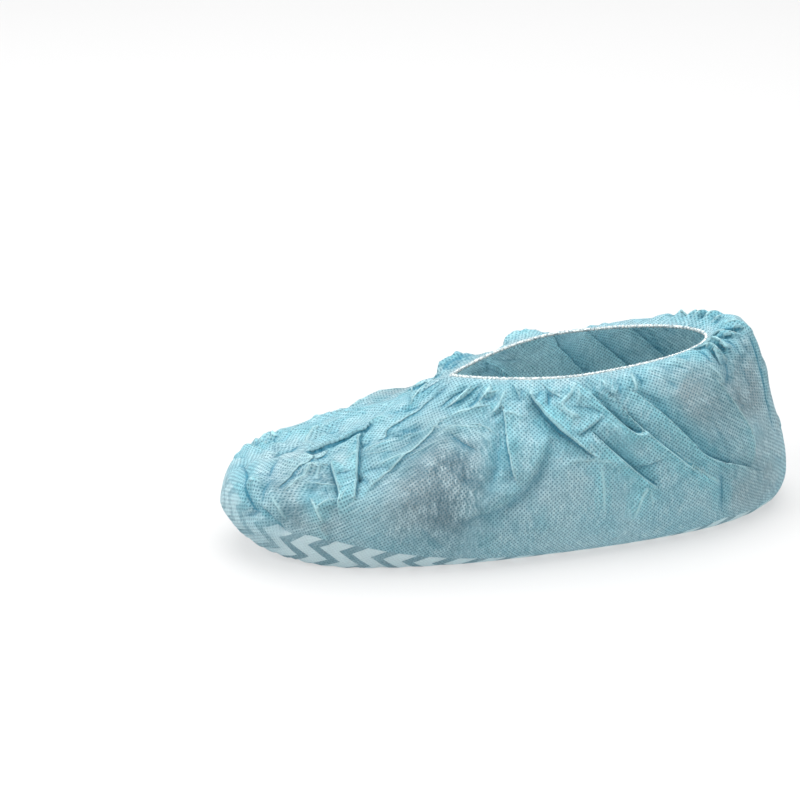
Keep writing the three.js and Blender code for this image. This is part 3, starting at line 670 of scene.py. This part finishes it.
    def sole_gathers(self):
        """Creases that run out across the sole from the seam, always upwards."""
        size = SOLE_GATHERS
        chance = np.random.default_rng(size["seed"])
        under = self.out[:, 2] < size["under"]
        away = np.abs(self.points[:, 1])
        lift = np.zeros(len(self.points))
        for k in range(size["count"]):
            place = (k + chance.uniform(*size["place"])) / size["count"]
            centre = size["start"] + (size["end"] - size["start"]) * place
            for side in (-1, 1):
                slope = chance.normal(0, size["slope"])
                reach = chance.uniform(*size["reach"])
                depth = size["depth"] * chance.uniform(*size["vary"])
                gap = np.abs(self.points[:, 0] - centre - slope * away)
                shape = np.maximum(0, 1 - gap / size["width"])
                shape *= np.maximum(0, 1 - away / reach) ** size["fade"]
                shape *= (np.sign(self.points[:, 1]) == side) * np.clip(away / size["root"], 0, 1)
                lift = np.maximum(lift, depth * shape)
        self.shift[:, 2] += lift * under
        # Painted shade in the valleys of these creases
        self.deepen("valley", slice(None), np.clip(lift / size["depth"], 0, 1) * under)

    def folded(self):
        """The outer face of the folded cloth."""
        moved = self.points + self.out * self.rise[:, None] + self.shift
        moved[:, 2] = np.maximum(moved[:, 2], 0)
        return moved.reshape(self.form.shape)


def hem_line(form):
    """The line in the middle of the edging that the cloth's edge goes into."""
    return form[0] + HEM_RISE * unit(form[0] - form[2]) - HEM_INSET * normals_of(form)[0]


# Coordinates on the cloth

def flat_coordinates(form, columns):
    """Lengths round the cloth at each of its points, and down it along lines that cross the rows squarely.

    The lines start at the given columns of the middle row. Gives the length round each row, that length at
    each line, and each line's own length. The heel's column comes first and last.
    """
    around = np.concatenate([form, form[:, :1]], axis=1)
    steps = np.linalg.norm(np.diff(around, axis=1), axis=-1, keepdims=True)
    reach = np.concatenate([np.zeros((len(form), 1, 1)), np.cumsum(steps, axis=1)], axis=1)
    tangent = unit(np.gradient(around, axis=1))

    def at(values, row, column):
        low = np.minimum(column.astype(int), AROUND - 1)
        share = (column - low)[:, None]
        return values[row, low] * (1 - share) + values[row, low + 1] * share

    middle = len(form) // 2
    starts = np.zeros((len(form), len(columns)))
    depths = np.zeros((len(form), len(columns)))
    starts[middle] = reach[middle, columns, 0]
    for way, stop in ((1, len(form)), (-1, -1)):
        column = np.array(columns, dtype=float)
        for row in range(middle + way, stop, way):
            step = at(around, row, column) - at(around, row - way, column)
            lead = (step * at(tangent, row, column)).sum(axis=1)
            starts[row] = at(reach, row, column)[:, 0] - lead
            fall = np.sqrt(np.maximum((step ** 2).sum(axis=1) - lead ** 2, 0))
            depths[row] = depths[row - way] - way * fall
            column = np.interp(starts[row], reach[row, :, 0], np.arange(AROUND + 1))
    return reach[..., 0], starts, depths


def print_turn(form):
    """How much further forward the print lies than each column, where it turns round the toe."""
    ring = form[np.abs(ROW_SHARES - PRINT_ROW).argmin()]
    toe = AROUND // 2
    turn = np.zeros(AROUND)
    for side in (range(toe, AROUND), range(toe, -1, -1)):
        part = ring[list(side)]
        walked = lengths_along(part)
        bend = np.interp(PRINT_BEND, part[:, 0], walked)
        turn[list(side)] = np.minimum(0, walked - bend - part[:, 0] + PRINT_BEND) * (walked < bend)
    return turn


def corner_coordinates(form, row, column):
    """Flat coordinates of the triangles' corners by map, and the share of the second map at each point."""
    flats = {}
    gaps = []
    for name, centres in CHART_COLUMNS.items():
        reach, starts, depths = flat_coordinates(form, centres)
        apart = np.abs(reach[..., None] - starts[:, None])
        chart = apart.argmin(axis=-1)[row[:, 0], column[:, 0]][:, None]
        flats[name] = np.stack([reach[row, column] - starts[row, chart] + chart * CHART_STEP,
                                depths[row, chart]], axis=-1)
        gaps.append(apart.min(axis=-1)[:, :-1].reshape(-1))
    share = ramp(gaps[0] / np.maximum(gaps[0] + gaps[1], TINY), *CHART_BLEND)

    edge = np.interp(np.abs(2 * column / AROUND - 1), PRINT_ALONG, PRINT_DOWN)
    flats["tread"] = np.stack([form[row, column % AROUND, 0] + print_turn(form)[column % AROUND],
                               (ROW_SHARES[row] - edge) * PANEL_DOWN], axis=-1)
    return flats, share


def patch_tones(cloth):
    """How much grey, painted sheen and painted shade the cloth has at each point."""
    tones = {name: np.zeros(len(cloth.points)) for name in PATCH_TONES}
    for row in rows_of(PATCH_COLUMNS, PATCHES):
        centre = point_at(cloth.form, row["side"], row["along"], row["down"])
        gap = np.linalg.norm(cloth.points - centre, axis=1)
        fade = row["strength"] * np.exp(-((gap / row["reach"]) ** 2))
        tones[row["tone"]] = np.maximum(tones[row["tone"]], fade)
    return tones


# The fabric body

def cut_panel(form):
    """The panel's triangles as spots of its unrolled grid, and the mesh point at each spot.

    The panel is cut open at the heel, and its two sides share the points of the sole seam.
    """
    columns = np.arange(AROUND)
    index = np.arange(len(form) * AROUND).reshape(-1, AROUND)
    index[-1] = np.where(columns > AROUND // 2, index[-1][facing(columns)], index[-1])
    point = np.concatenate([index, index[:, :1]], axis=1).reshape(-1)
    spot = np.arange(len(point)).reshape(-1, AROUND + 1)
    a, b, c, d = (part.reshape(-1) for part in (spot[:-1, :-1], spot[1:, :-1], spot[1:, 1:], spot[:-1, 1:]))

    # Each cell is split along its shorter diagonal
    corner = form.reshape(-1, 3)[point]
    a_to_c = np.linalg.norm(corner[a] - corner[c], axis=1) < np.linalg.norm(corner[b] - corner[d], axis=1)
    halves = np.where(a_to_c[:, None], np.stack([a, b, c, a, c, d], axis=1),
                      np.stack([a, b, d, b, c, d], axis=1)).reshape(-1, 3)
    whole = [len(set(face)) == 3 for face in point[halves].tolist()]
    return halves[whole], point


def add_attribute(mesh, name, values):
    """A value for each of a mesh's points."""
    attribute = mesh.attributes.new(name, "FLOAT", "POINT")
    attribute.data.foreach_set("value", values.astype(np.float32))


def make_cloth():
    """The fabric body as a closed wall, the line of its hem, and its folded outer face."""
    cloth = Cloth()
    cloth.named_folds()
    cloth.rim_gathers()
    cloth.crumples()
    cloth.sole_gathers()
    body = cloth.folded()
    hem = hem_line(cloth.form)
    form = np.concatenate([hem[None], body])
    halves, point = cut_panel(form)
    used, faces = np.unique(point[halves], return_inverse=True)
    mesh = bpy.data.meshes.new("fabric")
    mesh.from_pydata((form.reshape(-1, 3)[used] * MM).tolist(), [], faces.reshape(-1, 3).tolist())

    # The hem has the coordinates and tones of the row below it
    row, column = np.divmod(halves, AROUND + 1)
    flats, between_share = corner_coordinates(cloth.form, np.maximum(row - 1, 0), column)
    for name, flat in flats.items():
        layer = mesh.uv_layers.new(name=name)
        layer.data.foreach_set("uv", (flat * MM).astype(np.float32).reshape(-1))
    tones = {**cloth.tones, "between_share": between_share, **patch_tones(cloth)}
    for name, values in tones.items():
        add_attribute(mesh, name, np.concatenate([values[:AROUND], values])[used])

    piece = bpy.data.objects.new("fabric", mesh)
    bpy.context.collection.objects.link(piece)
    choose(piece)
    wall = piece.modifiers.new("wall", "SOLIDIFY")
    wall.thickness = CLOTH_THICKNESS * MM
    wall.offset = -1
    bpy.ops.object.modifier_apply(modifier=wall.name)
    bpy.ops.object.shade_smooth_by_angle(angle=math.radians(CREASE_ANGLE))

    # The wall's new points are those of its inner face
    add_attribute(mesh, "inside", np.arange(len(mesh.vertices)) >= len(used))
    return piece, hem, body


# Stitched edges

def guide_line(name, points, closed):
    """A curve that stitches follow."""
    curve = bpy.data.curves.new(name, "CURVE")
    curve.dimensions = "3D"
    curve.twist_mode = "Z_UP"
    spline = curve.splines.new("POLY")
    spline.points.add(len(points) - 1)
    for point, place in zip(spline.points, points):
        point.co = (*(place * MM), 1)
    spline.use_cyclic_u = closed
    guide = bpy.data.objects.new(name, curve)
    bpy.context.collection.objects.link(guide)
    return guide


def along_guide(piece, guide, count, step):
    """Repeat a piece along a guide and keep the result as its mesh."""
    choose(piece)
    repeat = piece.modifiers.new("repeat", "ARRAY")
    repeat.count = count
    repeat.use_relative_offset = False
    repeat.use_constant_offset = True
    repeat.constant_offset_displace = (step * MM, 0, 0)
    repeat.use_merge_vertices = True
    repeat.merge_threshold = WELD * MM
    follow = piece.modifiers.new("follow", "CURVE")
    follow.object = guide
    follow.deform_axis = "POS_X"
    bpy.ops.object.modifier_apply(modifier=repeat.name)
    bpy.ops.object.modifier_apply(modifier=follow.name)


def stitched_cord(name, points, closed, core, thread, pitch, slant):
    """A round core wrapped in slanted stitches, along a line of points."""
    guide = guide_line(name + "_guide", points, closed)
    length = lengths_along(np.concatenate([points, points[:1]]) if closed else points)[-1]
    count = int(round(length / pitch))
    step = length / count
    middle = (step / 2 * MM, 0, 0)
    lying = (0, math.radians(90), 0)

    bpy.ops.object.select_all(action="DESELECT")
    bpy.ops.mesh.primitive_cylinder_add(vertices=CORE_SIDES, radius=core * MM, depth=step * MM,
                                        end_fill_type="NOTHING", location=middle, rotation=lying)
    cord = bpy.context.active_object
    bpy.ops.object.transform_apply(location=True, rotation=True, scale=True)
    along_guide(cord, guide, count, step)

    bpy.ops.object.select_all(action="DESELECT")
    bpy.ops.mesh.primitive_torus_add(major_radius=core * MM, minor_radius=thread * MM,
                                     major_segments=STITCH_SIDES[0], minor_segments=STITCH_SIDES[1],
                                     location=middle, rotation=lying)
    stitch = bpy.context.active_object
    bpy.ops.object.transform_apply(location=True, rotation=True, scale=True)
    bpy.ops.object.mode_set(mode="EDIT")
    bpy.ops.mesh.select_all(action="SELECT")
    bpy.ops.transform.rotate(value=math.radians(slant), orient_axis="Z", center_override=middle)
    bpy.ops.object.mode_set(mode="OBJECT")
    along_guide(stitch, guide, count, step)

    choose(cord)
    stitch.select_set(True)
    bpy.ops.object.join()
    bpy.ops.object.mode_set(mode="EDIT")
    bpy.ops.mesh.select_all(action="SELECT")
    bpy.ops.mesh.remove_doubles(threshold=WELD * MM)
    if not closed:
        bpy.ops.mesh.fill_holes(sides=STITCH_SIDES[0])
    bpy.ops.mesh.normals_make_consistent(inside=False)
    bpy.ops.object.mode_set(mode="OBJECT")
    bpy.ops.object.shade_smooth()
    bpy.data.objects.remove(guide)
    cord.name = name
    cord.data.name = name
    return cord


def seam_line(form):
    """The line of the sole seam, from the toe to the heel, in the groove under the cloth."""
    columns = np.arange(AROUND // 2, -1, -1)
    line = form[-1][columns] + SEAM_DROP * normals_of(form)[-1][columns]
    return spaced(line, np.linspace(SEAM_END_SHARE, 1 - SEAM_END_SHARE, len(line)))


# Finishes

class Socket:
    """A node's output, which can be used in sums."""

    def __init__(self, finish, link):
        self.finish = finish
        self.link = link

    def maths(self, operation, first, second=0.0):
        """A sum of two values."""
        return self.finish.node("ShaderNodeMath", {"operation": operation}, {0: first, 1: second})

    def __add__(self, other):
        return self.maths("ADD", self, other)

    def __radd__(self, other):
        return self.maths("ADD", other, self)

    def __sub__(self, other):
        return self.maths("SUBTRACT", self, other)

    def __rsub__(self, other):
        return self.maths("SUBTRACT", other, self)

    def __mul__(self, other):
        return self.maths("MULTIPLY", self, other)

    def __rmul__(self, other):
        return self.maths("MULTIPLY", other, self)

    def __truediv__(self, other):
        return self.maths("DIVIDE", self, other)

    def __rtruediv__(self, other):
        return self.maths("DIVIDE", other, self)

    def __pow__(self, other):
        return self.maths("POWER", self, other)

    def __rpow__(self, other):
        return self.maths("POWER", other, self)

    def __mod__(self, other):
        return self.maths("FLOORED_MODULO", self, other)

    def __rmod__(self, other):
        return self.maths("FLOORED_MODULO", other, self)

    def __abs__(self):
        return self.maths("ABSOLUTE", self)


class Finish:
    """A material whose nodes are added as its finish is worked out."""

    def __init__(self, name):
        self.material = bpy.data.materials.new(name)
        self.material.use_nodes = True
        self.material.node_tree.nodes.clear()

    def node(self, kind, settings=None, inputs=None, output=0):
        """One node: its settings first, then the values or links of its sockets."""
        made = self.material.node_tree.nodes.new(kind)
        for name, value in (settings or {}).items():
            setattr(made, name, value)
        for name, value in (inputs or {}).items():
            if isinstance(value, Socket):
                self.material.node_tree.links.new(value.link, made.inputs[name])
            else:
                made.inputs[name].default_value = value
        return Socket(self, made.outputs[output]) if made.outputs else None

    def smooth(self, value, low, high):
        """0 below low, 1 above high and an even curve between."""
        return self.node("ShaderNodeMapRange", {"interpolation_type": "SMOOTHSTEP"},
                         {"Value": value, "From Min": low, "From Max": high})

    def mix(self, factor, first, second):
        """A colour between two."""
        return self.node("ShaderNodeMix", {"data_type": "RGBA"}, {0: factor, 6: first, 7: second}, output=2)

    def noise(self, vector, name, output=0):
        """One of the table's noises, as a value or as a colour."""
        scale, detail, roughness = NOISES[name]
        return self.node("ShaderNodeTexNoise", None, {"Vector": vector, "Scale": scale, "Detail": detail,
                                                      "Roughness": roughness}, output)

    def pattern(self, vector, name):
        """One of the table's noises at its contrast."""
        return self.smooth(self.noise(vector, name), *CONTRAST[name])

    def cells(self, vector, name):
        """Distance from the middle of the nearest of scattered cells."""
        return self.node("ShaderNodeTexVoronoi", None, {"Vector": vector, "Scale": CELLS[name]}, "Distance")

    def mapped(self, vector, turn, stretch):
        """A coordinate turned and stretched."""
        return self.node("ShaderNodeMapping", None, {"Vector": vector, "Rotation": turn, "Scale": stretch})

    def bump(self, name, height, **more):
        """A normal bent by a height, with the strength and depth of one of the table's reliefs."""
        strength, depth = RELIEF[name]
        return self.node("ShaderNodeBump", None, {"Strength": strength, "Distance": depth * MM,
                                                  "Height": height, **more})

    def object_place(self):
        """The place on the object, in metres."""
        return self.node("ShaderNodeTexCoord", output="Object")

    def attribute(self, name):
        """A value that the mesh holds."""
        return self.node("ShaderNodeAttribute", {"attribute_name": name}, output="Fac")

    def uv(self, name):
        """A panel coordinate in metres, whole and as its two parts."""
        whole = self.node("ShaderNodeUVMap", {"uv_map": name})
        x = self.node("ShaderNodeSeparateXYZ", None, {0: whole}, output=0)
        y = self.node("ShaderNodeSeparateXYZ", None, {0: whole}, output=1)
        return whole, x, y

    def end(self, shader):
        """Show a shader, and give the finished material."""
        self.node("ShaderNodeOutputMaterial", None, {"Surface": shader})
        return self.material


def grown(name, pattern):
    """One of the table's shares, which grows with a pattern."""
    least, more = SHARES[name]
    return least + more * pattern


def colour(red, green, blue):
    """A colour given as 0 to 255 on screen, as the shader wants it, by the usual screen curve."""
    screen = [value / 255 for value in (red, green, blue)]
    light = [value / 12.92 if value <= 0.04045 else ((value + 0.055) / 1.055) ** 2.4 for value in screen]
    return (*light, 1)


def embossed_dots(f, name):
    """Dots on a diagonal lattice of one of the cloth's maps, which wanders a little."""
    panel, u, v = f.uv(name)
    drift = (f.noise(panel, "wander") - 0.5) * (DOT_WANDER * MM)
    a = abs(((u + v + drift) / (DOT_PITCH * MM)) % 1.0 - 0.5)
    b = abs(((u - v + drift) / (DOT_PITCH * MM)) % 1.0 - 0.5)
    return 1.0 - f.smooth((a * a + b * b) ** 0.5, *CONTRAST["dot"])


def fold_edges(f):
    """The crisp painted highlight on the lip and painted shade in the cleft along each fold's line."""
    line = f.attribute("line")
    fore, aft = f.attribute("fore"), f.attribute("aft")
    rise = f.attribute("near") * (aft + (fore - aft) * f.smooth(line, -LINE_EDGE, LINE_EDGE))
    lip_highlight = f.smooth(rise, *LIP["rise"]) * (1.0 - f.smooth(abs(line), *LIP["width"]))
    cleft = f.smooth(-1.0 * rise, *CLEFT["rise"]) * (1.0 - f.smooth(abs(line), *CLEFT["width"]))
    return lip_highlight, cleft


def printed_tread(f, inside):
    """Rows of chevrons that point to the toe: how far they cover the cloth, and their light blocks."""
    x, y = f.uv("tread")[1:]
    pitch, row_width = CHEVRON["pitch"] * MM, CHEVRON["row"] * MM
    row = abs(((y + CHEVRON["top"] * MM) / row_width) % 1.0 - 0.5)
    step = ((x - CHEVRON["start"] * MM) / pitch - row * (CHEVRON["slope"] * row_width / pitch)) % 1.0
    light, soft = CHEVRON["light"], CHEVRON["soft"]
    block = f.smooth(step, 0.0, soft) * (1.0 - f.smooth(step, light, light + soft))
    faint, full = (place * MM for place in PRINT_FAINT)
    printed = f.smooth(y, 0.0, PRINT_EDGE * MM) * grown("print", f.smooth(x, faint, full))
    return printed * (1.0 - PRINT_INSIDE * inside), block


def crumpled(f, place, lip_highlight, cleft):
    """The normal of cloth crumpled into small facets."""
    reach = FACET_BEND * MM
    bent = f.node("ShaderNodeVectorMath", {"operation": "MULTIPLY_ADD"},
                  {0: f.noise(place, "bend", "Color"), 1: (reach, reach, reach), 2: place})
    facets = f.cells(bent, "facet") + HEIGHTS["crinkle"] * f.cells(bent, "crinkle")
    return f.bump("facet", facets + HEIGHTS["lip_highlight"] * lip_highlight + HEIGHTS["cleft"] * cleft)


def nonwoven_cloth():
    """Embossed spunbond cloth with the tread printed on its sole."""
    f = Finish("nonwoven_cloth")
    hue = {name: colour(*screen) for name, screen in CLOTH_COLOURS.items()}
    panel = f.uv("cloth")[0]
    place = f.object_place()
    inside = f.attribute("inside")
    fullness_and_painted_light = f.attribute("blue")
    between = f.attribute("between_share")
    dot = embossed_dots(f, "cloth") * (1.0 - between) + embossed_dots(f, "between") * between
    lip_highlight, cleft = fold_edges(f)

    # Clouds, fibres and grain of the web
    cloud = f.noise(place, "cloud")
    patch = f.pattern(place, "patch")
    grain = f.pattern(place, "grain")
    fibre = f.pattern(f.mapped(panel, **FIBRES), "fibre")
    strand = f.pattern(f.mapped(panel, **STRANDS), "strand")
    web = WEB_PARTS[0] * fibre + WEB_PARTS[1] * strand

    # Patches of the cloth
    greyness = f.smooth(f.attribute("grey") * (CLOUD_LIFT + cloud), *CONTRAST["grey"])
    base = f.mix(f.smooth(cloud, *CONTRAST["cloud"]), hue["blue"], hue["pale"])
    base = f.mix(greyness * grown("grey", grain), base, hue["grey"])
    # The fuller colour of folds, partly painted light
    base = f.mix(fullness_and_painted_light * FOLD_CYAN, base, hue["cyan"])
    # Painted sheen on pale patches
    base = f.mix(f.attribute("pale") * grown("pale", patch), base, hue["fuzz"])
    base = f.mix(f.attribute("shade") * grown("shade", 1.0 - patch), base, hue["shade"])

    # Print, then web and dots, which show less on the print, and the folds' edges
    printed, block = printed_tread(f, inside)
    base = f.mix(printed, base, f.mix(block, hue["print dark"], hue["print light"]))
    bare = 1.0 - printed * grown("cover", block)
    base = f.mix(web * grown("web", patch) * (1.0 - WEB_IN_FOLDS * fullness_and_painted_light) * bare, base, hue["fuzz"])
    base = f.mix(dot * grown("dot", grain) * bare, base, hue["dot"])
    base = f.mix((1.0 - web) * (1.0 - grain) * PITS * bare, base, hue["dot"])
    # Painted shade in the folds' valleys and clefts, and a painted highlight on their lips
    base = f.mix(f.attribute("valley") * VALLEY_DARK, base, hue["deep"])
    base = f.mix(cleft * grown("cleft", inside), base, hue["deep"])
    base = f.mix(lip_highlight * LIP["share"], base, hue["lip_highlight"])

    normal = f.bump("web", web * HEIGHTS["web"] - dot, Normal=crumpled(f, place, lip_highlight, cleft))
    skin = f.node("ShaderNodeBsdfPrincipled", None,
                  {"Base Color": base, "Roughness": grown("cloth roughness", web), "Normal": normal,
                   **CLOTH_GLOSS})

    # More light comes through where the web is thin and pale
    thin = f.node("ShaderNodeRGBToBW", None, {0: base})
    dim = f.node("ShaderNodeBsdfTranslucent", None, {"Color": hue["dim"], "Normal": normal})
    lit = f.node("ShaderNodeBsdfTranslucent", None, {"Color": hue["lit"], "Normal": normal})
    glow = f.node("ShaderNodeMixShader", None, {0: thin, 1: dim, 2: lit})
    return f.end(f.node("ShaderNodeMixShader", None, {0: THROUGH, 1: skin, 2: glow}))


def thread_finish(name, pale, deep):
    """Twisted thread."""
    f = Finish(name)
    twist = f.noise(f.object_place(), "twist")
    base = f.mix(f.smooth(twist, *CONTRAST["twist"]), colour(*deep), colour(*pale))
    return f.end(f.node("ShaderNodeBsdfPrincipled", None,
                        {"Base Color": base, "Roughness": grown("thread roughness", twist),
                         "Normal": f.bump("thread", twist), **THREAD_GLOSS}))


def floor_finish():
    """Plain pale floor, lit from below as a light table is."""
    f = Finish("studio_floor")
    tone = FLOOR["tone"]
    return f.end(f.node("ShaderNodeBsdfPrincipled", None,
                        {"Base Color": (tone, tone, tone, 1), "Roughness": FLOOR["roughness"],
                         "Specular IOR Level": FLOOR["gloss"], "Emission Color": (1, 1, 1, 1),
                         "Emission Strength": FLOOR["glow"]}))


# Studio

def area_light(name, place, size, power):
    """A rectangular lamp that looks at the cover."""
    lamp = bpy.data.lights.new(name, "AREA")
    lamp.shape = "RECTANGLE"
    lamp.size, lamp.size_y = size
    lamp.energy = power
    light = bpy.data.objects.new(name, lamp)
    light.location = place
    light.rotation_euler = (Vector(LIGHT_AIM) - Vector(place)).to_track_quat("-Z", "Y").to_euler()
    bpy.context.collection.objects.link(light)


def studio():
    """Floor, lamps and a white surround."""
    bpy.ops.object.select_all(action="DESELECT")
    bpy.ops.mesh.primitive_plane_add(size=FLOOR["size"], location=(0, 0, 0))
    floor = bpy.context.active_object
    floor.name = "floor"
    floor.data.materials.append(floor_finish())
    for row in rows_of(LIGHT_COLUMNS, LIGHTS):
        area_light(**row)
    world = bpy.data.worlds.new("studio")
    world.use_nodes = True
    background = world.node_tree.nodes["Background"]
    background.inputs["Color"].default_value = (1, 1, 1, 1)
    background.inputs["Strength"].default_value = WORLD_LIGHT
    bpy.context.scene.world = world
    bpy.context.scene.view_settings.view_transform = "Standard"


def dress(piece, material, node):
    """Give a piece its finish, attach it to the root body and hide the CAD part that it replaces."""
    piece.data.materials.clear()
    piece.data.materials.append(material)
    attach(piece, "root")
    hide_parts(node)


place_camera()
fabric, rim, outer_face = make_cloth()
edging = stitched_cord("edging", rim, True, **EDGING)
seam = stitched_cord("seam", seam_line(outer_face), False, **SEAM)
dress(fabric, nonwoven_cloth(), "fabric_body")
dress(edging, thread_finish("elastic_edging", *EDGING_COLOURS), "elastic_edge")
dress(seam, thread_finish("seam_thread", *SEAM_COLOURS), "sole_seam")
studio()
